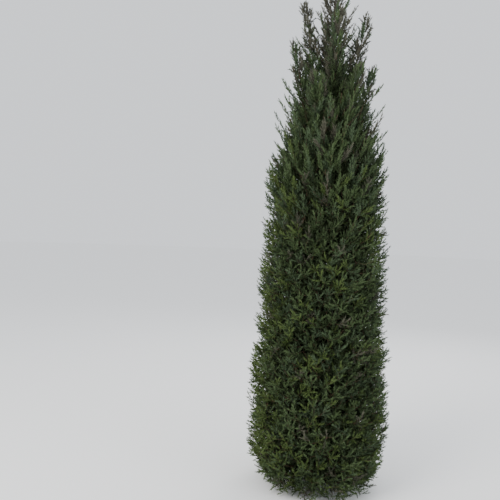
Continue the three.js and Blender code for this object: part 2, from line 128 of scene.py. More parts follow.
# The sprigs on a spray, and the room that they keep to: below the tip, in the box, off the ground.
SPRIG = dict(length=0.052, upturn=0.2, tip_upturn=0.4, wobble=0.05, furthest=0.98, turn=0.9,
             next_turn=1.7, tilt_range=12, longest=1.1, taper=0.2)
OVER_TOP = 0.003
WIDEST_REACH = (0.447, 0.434)
LOWEST_TWIG = 0.008
LOWEST_LEAF = 0.002
OUTER_SLACK = 0.035
INNER_DEPTH = 0.036
DEEP_DEPTH = 0.1

# The layers of old foliage inside the dense crown: how far apart its sprigs would lie if the layer
# were spread over the outline, its share of the outline's radius, how much deeper it lies and by how
# much that varies, and its sprigs' length.
SHALLOW_LAYER = dict(spacing=0.038, share=1.0, depth=0.105, stray=0.06, length=0.1)
DEEP_LAYERS = [
    dict(spacing=0.064, share=0.55, depth=0.03, stray=0.03, length=0.15),
    dict(spacing=0.09, share=0.3, depth=0.01, stray=0.03, length=0.2),
]
LAYER_ROOM = dict(bottom=0.05, top=DENSE["top"] - 0.07, inner=0.07)
LAYER_TURN = 7

# Old sprigs scattered in the crown's foot, and in its heart under the plumes.
FOOT_FILL = dict(count=420, inner=0.07, width=0.28, packing=0.5, bottom=0.015, rise=0.08, length=0.12)
HEART_FILL = dict(count=200, inner=0.03, width=0.2, packing=0.7, bottom=1.95, rise=0.42, length=0.1)
OLD_HEADING = dict(lean=0.3, lean_range=1.0, foot_lean=1.6, foot=0.3, sway=1.4)

# The foliage's tints, each with a young and an older shade, the older darker also as painted shade
# on sunken tufts, and the share of the sprays that are bronze, fresh or blue-green at each height.
TINTS = ["fresh", "green", "blue_green", "bronze", "old"]
BRONZE_HEIGHTS = [0, 0.22, 0.6, 2.0, 2.45, 2.9]
BRONZE_SHARES = [0.3, 0.05, 0.04, 0.07, 0.2, 0.85]
FRESH_HEIGHTS = [0, 0.4, 1.4, 2.0, 2.3]
FRESH_SHARES = [0.4, 0.5, 0.3, 0.1, 0]
BLUE_HEIGHTS = [0, 1.0, 2.2]
BLUE_SHARES = [0.1, 0.2, 0.3]
# More fresh sprays on the left, the side the key lamp lights, and more blue-green ones on the right:
# painted light and painted shade.
SIDE_LIGHT_TINTS = dict(fresh=0.4, fresh_lit_left=1.5, blue=1.3, less_blue_lit_left=0.6)
FRESH_PATCHES = dict(size=0.22, gain=1.5, least=0.1)

# The bark's furrows, and how many sides and steps each kind of tube has.
FURROWS = dict(across=3.2, along=5.5, roughness=0.9, detail=2.1, octaves=4, strips=0.9)
RIBS = dict(count=9, waver=2.2, twist=1.7, height=0.7, level=0.55)
TRUNK_RELIEF = 0.075
BOUGH_RELIEF = 0.16
BOUGH_STRETCH = 0.2
CUT_HEIGHT = 0.02
TRUNK_TUBE = (56, 190)
BOUGH_TUBE = (14, 12)
STEM_TUBE = (6, 8)
BRANCH_TUBE = (3, 6)
TWIG_TUBE = (3, 2)


def seeded(seed):
    """A sequence of numbers from 0 to 1, the same on every run and the same as the solids'."""
    state = (seed * 7919 + 12345) & 0xFFFFFFFF

    def draw():
        nonlocal state
        state = (state * 1664525 + 1013904223) & 0xFFFFFFFF
        return state / 4294967296

    return draw


def varied(draw, width):
    """Factors that vary about 1 by a width in all, from draws between 0 and 1."""
    return 1 - width / 2 + width * draw


def centred(draw, width):
    """Values that vary about 0 by a width in all, from draws between 0 and 1."""
    return width * (draw - 0.5)


def crown_radius(height):
    return np.interp(height, OUTLINE_HEIGHTS, OUTLINE_RADII)


def around(bearing, distance, height):
    """A point given by its bearing, its distance from the axis and its height."""
    x = np.cos(bearing) * distance
    y = np.sin(bearing) * distance
    return np.stack(np.broadcast_arrays(x, y, height), -1)


def unit(vectors):
    return vectors / np.maximum(np.linalg.norm(vectors, axis=-1, keepdims=True), 1e-12)


def trunk_centre(height):
    share = np.asarray(height) / TRUNK["top"]
    return around(TRUNK["twist"] * share, TRUNK["wander"] * np.sin(np.pi * share), height)


def trunk_radius(height, bearing):
    share = (height / TRUNK["top"]) ** TRUNK["taper"]
    foot = math.exp(-height / TRUNK["flare_height"])
    lobes = 1 + TRUNK["buttress_depth"] * foot * math.cos(TRUNK["buttresses"] * bearing)
    return (TRUNK["base"] + (TRUNK["tip"] - TRUNK["base"]) * share + TRUNK["flare"] * foot) * lobes


def along_curve(controls, share):
    """Points and directions on Bezier curves: controls is (..., 3 or 4, 3), share fits its front."""
    share = np.asarray(share)[..., None]
    rest = 1 - share
    p = [controls[..., i, :] for i in range(controls.shape[-2])]
    if len(p) == 3:
        point = rest**2 * p[0] + 2 * rest * share * p[1] + share**2 * p[2]
        slope = rest * (p[1] - p[0]) + share * (p[2] - p[1])
    else:
        start = rest**3 * p[0] + 3 * rest**2 * share * p[1]
        point = start + 3 * rest * share**2 * p[2] + share**3 * p[3]
        slope = rest**2 * (p[1] - p[0]) + 2 * rest * share * (p[2] - p[1]) + share**2 * (p[3] - p[2])
    return point, unit(slope)


def stops_along(curves, shares):
    """Points at several shares of the way along each of some curves."""
    return np.concatenate([along_curve(curves, np.full(len(curves), share))[0] for share in shares])


def nearest(points, places):
    """The one of the places that lies nearest to each point, by its number."""
    squares = (places**2).sum(axis=1) - 2 * points @ places.T
    return squares.argmin(axis=1)


# The masses: where each has its centre, its bough and its stem, as the solids have.
def tier_masses(tier, stray):
    for i in range(tier["count"]):
        bearing = math.radians(tier["turn"] + 360 * i / tier["count"]) + SCATTER["bearing"] * stray()
        height = tier["centre"] + SCATTER["height"] * stray()
        radius = float(crown_radius(height))
        hollow = DENSE["hollow"] * radius
        start = tier["start"] + tier["step"] * i
        foot_height = start + BOUGH["rise"] * (height - start)
        yield dict(
            name=f"{tier['name']}_mass_{i + 1}",
            bough=f"{tier['name']}_bough_{i + 1}",
            part=tier["name"],
            dense=True,
            start=start,
            centre=around(bearing, DENSE["reach"] * radius, height),
            foot=around(bearing, hollow + DENSE["foot_depth"], foot_height),
        )


def ring_plumes(ring, stray):
    for i in range(ring["count"]):
        bearing = math.radians(ring["turn"] + 360 * i / ring["count"]) + SCATTER["bearing"] * stray()
        shortening = ((ring["count"] - 1) * i % ring["count"]) / (ring["count"] - 1)
        height = ring["tip"] - ring["drop"] * shortening
        foot = around(bearing, ring["reach"], ring["foot"] + SCATTER["height"] * stray())
        tip = around(bearing, ring["tip_reach"] * float(crown_radius(height)), height)
        yield dict(
            name=f"{ring['name']}_{i + 1}",
            part=ring["name"],
            dense=False,
            start=ring["start"] + ring["step"] * i,
            foot=foot,
            centre=(foot + tip) / 2,
            tip=tip,
            **SIDE_PLUME,
        )


def leader_plume():
    top = trunk_centre(TRUNK["top"])
    tip = np.array([*TREE_TIP, TREE_HEIGHT])
    return dict(
        name="leader_plume",
        part="high_plume",
        dense=False,
        start=TRUNK["top"] + TRUNK_GAP,
        foot=top + PLUME_STEM["leader_start"] * (tip - top),
        centre=(top + tip) / 2,
        tip=tip,
        **LEADER_PLUME,
    )


def find_masses():
    """Every mass and plume, with the curves of its bough and its stem."""
    draw = seeded(SOLIDS_SEED)

    def stray():
        return 2 * draw() - 1

    found = [mass for tier in TIERS for mass in tier_masses(tier, stray)]
    found += [plume for ring in PLUME_RINGS for plume in ring_plumes(ring, stray)]
    found.append(leader_plume())
    for mass in found:
        start = trunk_centre(mass["start"])
        if mass["dense"]:
            bend = start + BOUGH["bend"] * (mass["foot"] - start)
            bend[2] -= BOUGH["sag"] * np.linalg.norm(mass["foot"] - start)
            mass["bough_curve"] = np.array([start, bend, mass["foot"]])
            heading = unit(mass["foot"] - bend)
            foot = mass["foot"] + heading * JOINT_GAP
            elbow = foot + heading * STEM["elbow"] * np.linalg.norm(mass["centre"] - foot)
            mass["stem_curve"] = np.array([foot, elbow, mass["centre"]])
        else:
            end = mass["tip"] - np.array([0, 0, PLUME_STEM["tip_drop"]])
            mass["stem_curve"] = np.array([start, mass["foot"], mass["centre"], end])
    return found


def owners(points, dense):
    """The dense mass whose space each point lies in or nearest to, by its number."""
    room = np.full((len(dense), len(points)), np.inf)
    for i, mass in enumerate(dense):
        for other in dense:
            if other is mass:
                continue
            middle = (mass["centre"] + other["centre"]) / 2
            normal = other["centre"] - mass["centre"]
            inward = unit(-middle * [1, 1, 0])
            normal = unit(normal + inward * DENSE["overlap"] * normal[2])
            room[i] = np.minimum(room[i], (middle - points) @ normal)
    return room.argmax(axis=0)


# Small shapes, each made once and then set out many times.
def shape_arrays(bm):
    """The vertices and triangles of a bmesh, which is then freed."""
    bmesh.ops.triangulate(bm, faces=bm.faces)
    bm.verts.index_update()
    corners = np.array([v.co[:] for v in bm.verts])
    faces = np.array([[v.index for v in face.verts] for face in bm.faces])
    bm.free()
    return corners, faces


def unit_tube(sides, steps):
    """A closed tube of radius 1 from height 0 to 1, in even steps."""
    bm = bmesh.new()
    bmesh.ops.create_cone(bm, cap_ends=True, segments=sides, radius1=1, radius2=1, depth=1)
    bmesh.ops.translate(bm, verts=bm.verts, vec=(0, 0, 0.5))
    risers = [e for e in bm.edges if abs(e.verts[0].co.z - e.verts[1].co.z) > 0.5]
    bmesh.ops.subdivide_edges(bm, edges=risers, cuts=steps - 1, use_grid_fill=True)
    return shape_arrays(bm)


def bent_tubes(tube, curves, start_radius, end_radius):
    """Copies of a unit tube bent along curves (n, 3 or 4, 3), tapering between two radii."""
    corners, faces = tube
    count = len(curves)
    share = np.broadcast_to(corners[:, 2], (count, len(corners)))
    point, ahead = along_curve(curves[:, None], share)
    chord = curves[:, -1] - curves[:, 0]
    across_bend = np.cross(curves[:, 1] - curves[:, 0], chord)
    any_direction = [0.3, 0.9, 0.2]
    across_straight = np.cross(chord, any_direction)
    is_bent = np.linalg.norm(across_bend, axis=1, keepdims=True) > 1e-7
    across = unit(np.where(is_bent, across_bend, across_straight))[:, None]
    across = unit(across - ahead * (across * ahead).sum(-1, keepdims=True))
    upright = np.cross(ahead, across)
    radius = (start_radius + (end_radius - start_radius) * share)[..., None]
    placed = point + radius * (corners[:, 0:1] * across + corners[:, 1:2] * upright)
    return placed.reshape(-1, 3), numbered(faces, count, len(corners))


def numbered(faces, count, size):
    """A shape's triangles, repeated for `count` copies of its `size` vertices."""
    return (faces[None] + size * np.arange(count)[:, None, None]).reshape(-1, 3)


def unit_sprigs(seeds, shoots, thickness, spread):
    """Variants of a sprig, one from each seed."""
    return [unit_sprig(seed, shoots, thickness, spread) for seed in seeds]


def unit_sprig(seed, shoots, thickness, spread):
    """A sprig 1 long, growing up: a slim axis with pointed shoots round it on a golden angle.
    Its zones are 0 for the axis and the lowest shoots, and 1 for the young shoots above them."""
    draw = seeded(seed)
    bm = bmesh.new()
    zone = bm.faces.layers.int.new("zone")
    bmesh.ops.create_cone(
        bm, cap_ends=True, segments=3, radius1=SHOOTS["axis"] * thickness, radius2=0, depth=1)
    bmesh.ops.translate(bm, verts=bm.verts, vec=(0, 0, 0.5))
    bend = centred(draw(), SHOOTS["bend"])
    for i in range(shoots):
        share = SHOOTS["lowest"] + SHOOTS["stretch"] * i / (shoots - 1)
        length = (SHOOTS["length"] - SHOOTS["shortening"] * share) * varied(draw(), LENGTH_RANGE)
        tilt = SHOOTS["tilt"] - SHOOTS["rising"] * share + centred(draw(), SHOOTS["tilt_range"])
        tilt = math.radians(tilt) * spread
        made = bmesh.ops.create_cone(
            bm, cap_ends=True, segments=3, radius1=thickness, radius2=0, depth=length)["verts"]
        bmesh.ops.translate(bm, verts=made, vec=(0, 0, 0.5 * length))
        bmesh.ops.scale(bm, verts=made, vec=SHOOTS["flattening"])
        turn = Matrix.Rotation(i * GOLDEN_ANGLE + SHOOTS["turn"] * draw(), 3, "Z")
        bmesh.ops.rotate(bm, verts=made, matrix=turn @ Matrix.Rotation(tilt, 3, "Y"))
        bmesh.ops.translate(bm, verts=made, vec=(0, 0, share))
        for face in {face for vert in made for face in vert.link_faces}:
            face[zone] = int(share > SHOOTS["young_from"])
    for vert in bm.verts:
        vert.co.x += bend * vert.co.z**2
    bmesh.ops.triangulate(bm, faces=bm.faces)
    zones = np.array([face[zone] for face in bm.faces])
    return (*shape_arrays(bm), zones)


def turned(direction, roll):
    """Rotations (n, 3, 3) that stand a shape's height along `direction`, rolled about it."""
    is_steep = np.abs(direction[:, 2:3]) > 0.9
    side = unit(np.cross(np.where(is_steep, [[1.0, 0, 0]], [[0, 0, 1.0]]), direction))
    back = np.cross(direction, side)
    across = side * np.cos(roll)[:, None] + back * np.sin(roll)[:, None]
    return np.stack([across, np.cross(direction, across), direction], axis=-1)


class Growth:
    """Gathers the sprigs and twigs of the crown, part by part."""

    def __init__(self):
        self.sprigs = {}
        self.old_sprigs = {}
        self.deep_sprigs = {}
        self.twigs = []

    def sprig(self, part, place, direction, length, tint, young):
        self.sprigs.setdefault(part, []).append((place, unit(direction), length, tint, young))

    def old_sprigs_in(self, kept, part, place, direction, length):
        old = np.full(len(place), TINTS.index("old"))
        young = np.ones(len(place), int)
        kept.setdefault(part, []).append((place, unit(direction), length, old, young))

    def twig(self, curves, radii, tube):
        self.twigs.append(bent_tubes(tube, curves, *radii))


def patches(points, size, seed):
    """A smooth value from about -1 to 1 at each point, in patches of a size."""
    shift = Vector((seed, 2 * seed, 3 * seed))
    return np.array([NOISE_GAIN * noise.noise(Vector(point) / size + shift) for point in points])


def tint_of(points, random):
    """The tint of each spray, in patches: fresher low down, bronze at the top, and fresher on the left
    and bluer on the right as painted light and painted shade.
    """
    height = points[:, 2]
    # Fresher on the left and bluer on the right: painted light from the side the key lamp lights, and
    # painted shade on the other.
    left = 0.5 - 0.5 * points[:, 0] / np.maximum(np.hypot(points[:, 0], points[:, 1]), 0.01)
    bronze = np.interp(height, BRONZE_HEIGHTS, BRONZE_SHARES)
    fresh = np.interp(height, FRESH_HEIGHTS, FRESH_SHARES)
    fresh = fresh * (SIDE_LIGHT_TINTS["fresh"] + SIDE_LIGHT_TINTS["fresh_lit_left"] * left**3)
    blue = np.interp(height, BLUE_HEIGHTS, BLUE_SHARES)
    blue = blue * (SIDE_LIGHT_TINTS["blue"] - SIDE_LIGHT_TINTS["less_blue_lit_left"] * left)
    patch = 1 + FRESH_PATCHES["gain"] * patches(points, FRESH_PATCHES["size"], seed=5)
    fresh = fresh * np.maximum(FRESH_PATCHES["least"], patch)
    draw = random.random(len(points))
    tint = np.full(len(points), TINTS.index("green"))
    tint = np.where(draw < bronze + fresh + blue, TINTS.index("blue_green"), tint)
    tint = np.where(draw < bronze + fresh, TINTS.index("fresh"), tint)
    return np.where(draw < bronze, TINTS.index("bronze"), tint)


def spiral_points(spacing, bottom, top, widening=0):
    """Bearings, radii and heights of points an even distance apart on the crown's outline, and
    wider apart by a share where the growth is long feathers."""
    rows = []
    height = bottom
    while height < top:
        radius = float(crown_radius(height))
        rows.append((len(rows) * GOLDEN_ANGLE, radius, height))
        apart = spacing * (1 + widening * feathering(height))
        height += apart**2 / (2 * math.pi * radius)
    return np.array(rows).T


def feathering(height):
    """How far the growth has turned, with height, from short tufts to long upright feathers."""
    return np.clip((height - FEATHER["start"]) / FEATHER["rise"], 0, 1)


def notch(height):
    """How far the dense crown draws in under the plumes, where longer feathers stand out of it."""
    share = (height - NOTCH["start"]) / (DENSE["top"] - NOTCH["start"])
    return NOTCH["depth"] * np.clip(share, 0, 1)


def headings(bearing, height, random):
    """The way that growth at a bearing and a height points: outwards and up, lower near the foot."""
    n = len(bearing)
    low = np.clip(1 - height / HEADING["foot"], 0, 1)
    upright = feathering(height)
    lean = HEADING["lean"] + HEADING["lean_range"] * random.random(n)
    lean = lean * (1 - HEADING["feather_lean"] * upright)
    lean = lean + HEADING["foot_lean"] * low ** HEADING["foot_turn"]
    sway = centred(random.random(n), HEADING["sway"]) * (1 - HEADING["feather_sway"] * upright)
    aside = around(bearing + math.pi / 2, 1, 0)
    return unit(around(bearing, 1, 0) * lean[:, None] + aside * sway[:, None] + [0, 0, 1.0])


# The growth: branches first, then the sprays that fork from them, and the sprigs on each.
def limb_forks(dense):
    """The points on the trunk, the boughs and the stems of the dense masses that branches leave."""
    step = FORKS["step"]
    trunk = trunk_centre(np.arange(FORKS["lowest"], TRUNK["top"] - step, step))
    boughs = stops_along(np.array([mass["bough_curve"] for mass in dense]), FORKS["on_bough"])
    stems = stops_along(np.array([mass["stem_curve"] for mass in dense]), FORKS["on_stem"])
    return np.concatenate([trunk, boughs, stems])


def grow_branches(growth, dense, random):
    """Branches below the crown's outline, each from the nearest limb: their points for sprays."""
    bearing, radius, height = spiral_points(BRANCH["spacing"], BRANCH["lowest"], DENSE["top"])
    n = len(bearing)
    end = around(bearing, radius - BRANCH["depth"] - BRANCH["stray"] * random.random(n), height)
    direction = headings(bearing, height, random)
    length = BRANCH["length"] * varied(random.random(n), LENGTH_RANGE)
    turn = end - direction * length[:, None] - np.array([0, 0, BRANCH["drop"]])
    turn[:, 2] = np.maximum(turn[:, 2], BRANCH["lowest_turn"])
    limbs = limb_forks(dense)
    fork = limbs[nearest(turn - [0, 0, BRANCH["fork_drop"]], limbs)]
    ahead = 0.5 * (fork + turn) + around(bearing, BRANCH["bulge"], 0)
    curves = np.stack([fork, ahead, turn, end], axis=1)
    growth.twig(curves, BRANCH["radii"], unit_tube(*BRANCH_TUBE))
    return stops_along(curves, BRANCH_STOPS)


def grow_sprigs(growth, part, axes, tint, random, count, first, length, tilts, taper, older_and_shaded):
    """Sets sprigs out along spray axes (n, 3, 3): one at each tip, the others round the axis from
    its `first` share on, tilted from it by `tilts` degrees there and at the tip. Those below a given
    share of them take the older, darker shade: older growth and painted shade at once."""
    n = len(axes)
    for k in range(count):
        last = k == count - 1
        along = k / (count - 1)
        share = first + (1 - first) * along + np.zeros(n)
        if not last:
            share = np.clip(share + centred(random.random(n), SPRIG["wobble"]), 0, SPRIG["furthest"])
        place, ahead = along_curve(axes, share)
        roll = k * GOLDEN_ANGLE + random.random(n) * SPRIG["turn"]
        roll = roll + np.arange(n) * SPRIG["next_turn"]
        aside = turned(ahead, roll)[..., 0]
        tilt = tilts[0] + (tilts[1] - tilts[0]) * along
        tilt = np.radians(tilt + centred(random.random(n), SPRIG["tilt_range"]))
        tilt *= 0 if last else 1
        direction = ahead * np.cos(tilt)[:, None] + aside * np.sin(tilt)[:, None]
        direction[:, 2] += SPRIG["tip_upturn"] * SPRIG["upturn"] if last else SPRIG["upturn"]
        size = length * varied(random.random(n), SIZE_RANGE) * (SPRIG["longest"] - taper * along)
        growth.sprig(part, place, direction, size, tint, (along > older_and_shaded).astype(int))


def grow_sprays(growth, parts, tip, direction, length, size, forks, random, kind, older_and_shaded):
    """Sprays that end at the tips: a twig from the nearest fork, with sprigs on its last stretch.
    A tuft's sprigs fan out from its short twig, and a feather's lie along its long one."""
    n = len(tip)
    end = tip - direction * SPRAY["sprig_share"] * size[:, None]
    root = forks[nearest(end - direction * length[:, None], forks)]
    whole = np.linalg.norm(end - root, axis=1)
    bend = end - direction * (SPRAY["bend"] * whole)[:, None]
    axes = np.stack([root, bend, end], axis=1)
    axes[..., 2] = np.maximum(axes[..., 2], LOWEST_TWIG)
    growth.twig(axes, SPRAY["radii"], unit_tube(*TWIG_TUBE))
    tint = tint_of(tip, random)
    first = np.clip(1 - length / whole, *SPRAY["clothed"])
    tilts = [np.broadcast_to(tilt, n) for tilt in kind["tilts"]]
    older_and_shaded = np.broadcast_to(older_and_shaded, n)
    for part in dict.fromkeys(parts):
        mine = parts == part
        grow_sprigs(
            growth, part, axes[mine], tint[mine], random, kind["sprigs"], first[mine], size[mine],
            [tilt[mine] for tilt in tilts], SPRIG["taper"], older_and_shaded[mine])


def grow_dense_crown(growth, masses, random):
    """The dense crown: sprays an even distance apart, with their tips on its outline."""
    dense = [mass for mass in masses if mass["dense"]]
    forks = grow_branches(growth, dense, random)
    bearing, radius, height = spiral_points(
        SPRAY["spacing"], SPRAY["lowest"], DENSE["top"], SPRAY["widening"])
    n = len(bearing)
    bearing = bearing + centred(random.random(n), SPRAY["wobble"]) / radius
    height = np.maximum(SPRAY["lowest"], height + centred(random.random(n), SPRAY["wobble"]))
    feather = feathering(height)
    relief = 1 + FEATHER_RELIEF * feather
    spot = around(bearing, radius, height / CLUMPS["stretch"])
    sunken = CLUMPS["weights"][0] * patches(spot, CLUMPS["sizes"][0], seed=2)
    sunken += CLUMPS["weights"][1] * patches(spot, CLUMPS["sizes"][1], seed=4)
    sunken = np.clip(CLUMPS["level"] + sunken, 0, 1)
    radius = radius + SPRAY["reach"] * relief - SPRAY["stray"] * random.random(n)
    radius -= notch(height)
    tip = around(bearing, radius - CLUMPS["depth"] * relief * sunken, height)
    parts = np.array([mass["part"] for mass in dense])[owners(tip, dense)]
    length = SPRAY["length"] * varied(random.random(n), LENGTH_RANGE)
    length = length * (TUFT["stretch"] + (FEATHER["stretch"] - TUFT["stretch"]) * feather)
    direction = headings(bearing, height, random)
    size = SPRIG["length"] * (1 + FEATHER["longer_sprigs"] * feather)
    tilts = [low - (low - high) * feather for low, high in zip(TUFT["tilts"], FEATHER["tilts"])]
    # Sunken tufts take more of the older, darker shade: painted shade in the crown's recesses.
    older_and_shaded = OLDER_AND_SHADED["start"] + OLDER_AND_SHADED["sunken"] * sunken + OLDER_AND_SHADED["stray"] * random.random(n)
    older_and_shaded = older_and_shaded + OLDER_AND_SHADED["patch"] * patches(tip, OLDER_AND_SHADED["patch_size"], seed=9)
    for mine, kind in ((feather < 0.5, TUFT), (feather >= 0.5, FEATHER)):
        blended = dict(sprigs=kind["sprigs"], tilts=[tilt[mine] for tilt in tilts])
        grow_sprays(
            growth, parts[mine], tip[mine], direction[mine], length[mine], size[mine], forks, random,
            blended, older_and_shaded[mine])
    grow_plumelets(growth, dense, forks, random)


def grow_plumelets(growth, dense, forks, random):
    """Longer feathers that lean out of the upper crown and notch its outline."""
    n = PLUMELETS["count"]
    k = np.arange(n)
    bearing = k * GOLDEN_ANGLE + PLUMELETS["turn"] * random.random(n)
    height = PLUMELETS["bottom"] + PLUMELETS["rise"] * (k + random.random(n)) / n
    tip = around(bearing, crown_radius(height) + PLUMELETS["reach"], height)
    lean = PLUMELETS["lean"] + PLUMELETS["lean_range"] * random.random(n)
    direction = unit(around(bearing, lean, 1))
    parts = np.array([mass["part"] for mass in dense])[owners(tip, dense)]
    length = PLUMELETS["length"] * varied(random.random(n), SIZE_RANGE)
    size = np.full(n, SPRIG["length"])
    grow_sprays(
        growth, parts, tip, direction, length, size, forks, random, PLUMELETS, PLUMELETS["older_and_shaded"])


def grow_crowded_feathers(growth, masses, random):
    """Feathers that crowd the foot of the plumes, fewer and fewer with height."""
    plumes = [mass for mass in masses if not mass["dense"]]
    forks = stops_along(np.array([plume["stem_curve"] for plume in plumes]), CROWDED_FORKS)
    n = CROWDED["count"]
    height = CROWDED["bottom"] + CROWDED["rise"] * random.random(n) ** CROWDED["thinning"]
    bearing = 2 * math.pi * random.random(n)
    share = CROWDED["inner"] + CROWDED["width"] * random.random(n) ** CROWDED["packing"]
    tip = around(bearing, crown_radius(height) * share, height)
    lean = CROWDED["lean"] + CROWDED["lean_range"] * random.random(n)
    direction = unit(around(bearing, lean, 1))
    numbers = np.tile(np.arange(len(plumes)), len(CROWDED_FORKS))
    owner = numbers[nearest(tip - CROWDED["length"] * direction, forks)]
    parts = np.array([plume["part"] for plume in plumes])[owner]
    length = np.full(n, CROWDED["length"])
    size = np.full(n, SPRIG["length"])
    grow_sprays(
        growth, parts, tip, direction, length, size, forks, random, CROWDED, CROWDED["older_and_shaded"])


def layer_spots(layer, random):
    """Bearings, radii and heights of the old sprigs of a layer, and their lengths."""
    bearing, radius, height = spiral_points(
        layer["spacing"], LAYER_ROOM["bottom"], LAYER_ROOM["top"])
    inset = layer["depth"] + layer["stray"] * random.random(len(radius))
    radius = np.maximum(layer["share"] * radius - inset, LAYER_ROOM["inner"])
    bearing = bearing + LAYER_TURN * layer["share"]
    return bearing, radius, height, np.full(len(radius), layer["length"])


def fill_spots(fill, draws):
    """The same for old sprigs scattered round the axis, in a ring between two heights."""
    bearing = 2 * math.pi * draws[:, 0]
    radius = fill["inner"] + fill["width"] * draws[:, 1] ** fill["packing"]
    height = fill["bottom"] + fill["rise"] * draws[:, 2]
    return bearing, radius, height, np.full(len(draws), fill["length"])


def grow_inside(growth, masses, random):
    """Old foliage behind the sprays, dark and coarser the deeper it lies, that closes the crown."""
    fills = [fill_spots(fill, random.random((fill["count"], 3))) for fill in (FOOT_FILL, HEART_FILL)]
    shallow = [layer_spots(SHALLOW_LAYER, random), *fills]
    deep = [layer_spots(layer, random) for layer in DEEP_LAYERS]
    dense = [mass for mass in masses if mass["dense"]]
    for spots, kept in ((shallow, growth.old_sprigs), (deep, growth.deep_sprigs)):
        bearing, radius, height, length = [np.concatenate(column) for column in zip(*spots)]
        n = len(bearing)
        place = around(bearing, radius, height)
        low = np.clip(1 - height / OLD_HEADING["foot"], 0, 1)
        lean = OLD_HEADING["lean"] + OLD_HEADING["lean_range"] * random.random(n)
        lean = lean + OLD_HEADING["foot_lean"] * low
        sway = around(bearing + math.pi / 2, centred(random.random(n), OLD_HEADING["sway"]), 0)
        direction = around(bearing, lean, 1.0) + sway
        size = length * varied(random.random(n), SIZE_RANGE)
        parts = np.array([mass["part"] for mass in dense])[owners(place, dense)]
        for part in dict.fromkeys(parts):
            mine = parts == part
            growth.old_sprigs_in(kept, part, place[mine], direction[mine], size[mine])


def grow_plume(growth, plume, random):
    """An open plume: short sprays all the way up its stem, with gaps between their tips."""
    n = plume["sprays"]
    first, last = plume["clothed"]
    share = first + (last - first) * (np.arange(n) / (n - 1)) ** plume["crowding"]
    root, ahead = along_curve(np.broadcast_to(plume["stem_curve"], (n, 4, 3)), share)
    bearing = np.arange(n) * GOLDEN_ANGLE + PLUME_SPRAY["turn"] * random.random(n)
    sideways = around(bearing, 1, 0)
    fullness = 1 + (plume["fullness"] - 1) * (1 - share ** PLUME_SPRAY["thinning"])
    splay = PLUME_SPRAY["splay"] - PLUME_SPRAY["closing"] * share
    splay = splay * (1 - PLUME_SPRAY["tip_closing"] * share**4) * fullness**0.5
    direction = unit(ahead + sideways * splay[:, None])
    length = fullness * PLUME_SPRAY["length"]
    length = length * (PLUME_SPRAY["longest"] - PLUME_SPRAY["shortening"] * share)
    length *= varied(random.random(n), SIZE_RANGE)
    headroom = PLUME_SPRAY["headroom"] * (TREE_HEIGHT - root[:, 2])
    length = np.minimum(length, PLUME_SPRAY["least"] + headroom)
    sprig = PLUME_SPRAY["sprig"]
    end = root + direction * (length - PLUME_SPRAY["sprig_share"] * sprig)[:, None]
    reach = np.linalg.norm(end[:, :2], axis=1)
    room = crown_radius(end[:, 2] + PLUME_SPRAY["lookahead"])
    end[:, :2] *= np.minimum(1, room / np.maximum(reach, 1e-6))[:, None]
    end[:, 2] = np.minimum(end[:, 2], TREE_HEIGHT - sprig)
    bend = root + (end - root) * PLUME_SPRAY["bend"] + sideways * PLUME_SPRAY["bulge"]
    axes = np.stack([root, bend, end], axis=1)
    tint = tint_of(end, random)
    growth.twig(axes, PLUME_SPRAY["radii"], unit_tube(*TWIG_TUBE))
    grow_sprigs(
        growth, plume["part"], axes, tint, random, plume["sprigs"], PLUME_SPRAY["clothed"], sprig,
        PLUME_SPRAY["tilts"], PLUME_SPRAY["taper"], np.full(n, PLUME_SPRAY["older_and_shaded"]))
    growth.sprig(
        plume["part"], plume["tip"][None] - [0, 0, PLUME_TIP_SPRIG], np.array([[0.0, 0.0, 1.0]]),
        np.array([PLUME_TIP_SPRIG]), np.array([TINTS.index("bronze")]), np.array([1]))
    grow_plume_heart(growth, plume, random)


def grow_plume_heart(growth, plume, random):
    """Old foliage close round a plume's stem, where the plumes crowd together."""
    n = round(PLUME_HEART["sprigs"] * plume["fullness"])
    start, end = plume["heart"]
    share = start + (end - start) * np.arange(n) / n
    place, ahead = along_curve(np.broadcast_to(plume["stem_curve"], (n, 4, 3)), share)
    sideways = around(2 * math.pi * random.random(n), 1, 0)
    splay = PLUME_HEART["splay"] + PLUME_HEART["splay_range"] * random.random(n)
    direction = ahead + sideways * splay[:, None]
    size = PLUME_HEART["length"] * varied(random.random(n), SIZE_RANGE)
    growth.old_sprigs_in(growth.old_sprigs, plume["part"], place, direction, size)


# The colours of each tint's young and older foliage, and the barks. The older colours are darker
# also as painted shade, on sunken tufts and on the lower sprigs of sprays.
YOUNG_COLOURS = {
    "fresh": (0.081, 0.119, 0.032),
    "green": (0.066, 0.101, 0.038),
    "blue_green": (0.060, 0.092, 0.043),
    "bronze": (0.090, 0.088, 0.060),
    "old": (0.032, 0.047, 0.018),
}
OLDER_AND_SHADED_COLOURS = {
    "fresh": (0.052, 0.080, 0.020),
    "green": (0.041, 0.065, 0.024),
    "blue_green": (0.037, 0.058, 0.028),
    "bronze": (0.056, 0.055, 0.038),
    "old": (0.022, 0.032, 0.012),
}
BARK = dict(dark=(0.055, 0.034, 0.023), pale=(0.27, 0.19, 0.135), scale=55)
TWIG_BARK = dict(dark=(0.045, 0.030, 0.020), pale=(0.16, 0.105, 0.065), scale=120)


def principled(name, roughness, specular):
    material = bpy.data.materials.new(name)
    material.use_nodes = True
    shader = material.node_tree.nodes["Principled BSDF"]
    shader.inputs["Roughness"].default_value = roughness
    shader.inputs["Specular IOR Level"].default_value = specular
    return material, material.node_tree, shader


def add_node(tree, kind, source=None, into="Vector", **values):
    """A node with some of its sockets' values set, fed from a source."""
    node = tree.nodes.new(kind)
    for socket, value in values.items():
        node.inputs[socket.replace("_", " ")].default_value = value
    if source is not None:
        tree.links.new(source, node.inputs[into])
    return node


def add_bump(tree, shader, height, strength, distance):
    bump = add_node(tree, "ShaderNodeBump", height, "Height", Strength=strength, Distance=distance)
    tree.links.new(bump.outputs["Normal"], shader.inputs["Normal"])


